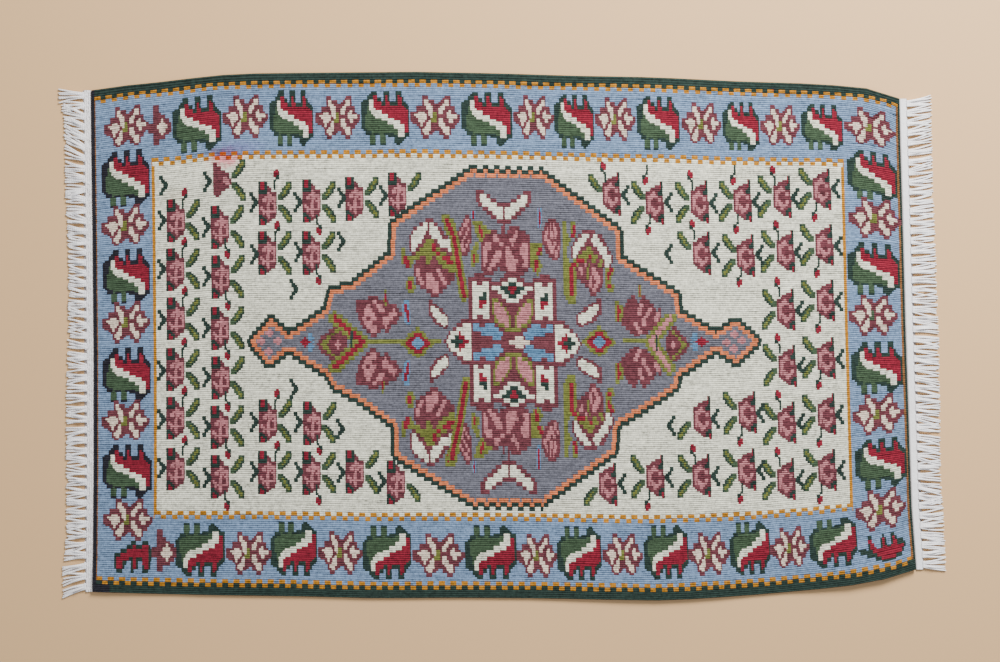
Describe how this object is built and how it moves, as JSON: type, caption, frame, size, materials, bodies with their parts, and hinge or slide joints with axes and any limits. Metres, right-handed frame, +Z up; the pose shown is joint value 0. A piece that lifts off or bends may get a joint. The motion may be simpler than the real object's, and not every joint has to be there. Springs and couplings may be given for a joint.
{
  "type": "kilim doormat",
  "caption": "Flat rectangular weft-faced tapestry rug with a fringed cotton heading at each short end, lying flat on a floor to wipe feet on.",
  "frame": {"origin": "on the floor plane, under the middle of the rug and its fringes", "axes": "+X along the rug's length, from the left fringe to the right one; +Y across its width, towards the long edge that is at the top in the picture; +Z up"},
  "size_m": [0.8868, 0.528, 0.0069],
  "materials": {
    "wool": "matte",
    "cotton": "matte"
  },
  "bodies": {
    "root": {"woven_web": "wool", "fringe_left": "cotton", "fringe_right": "cotton"}
  },
  "joints": []
}
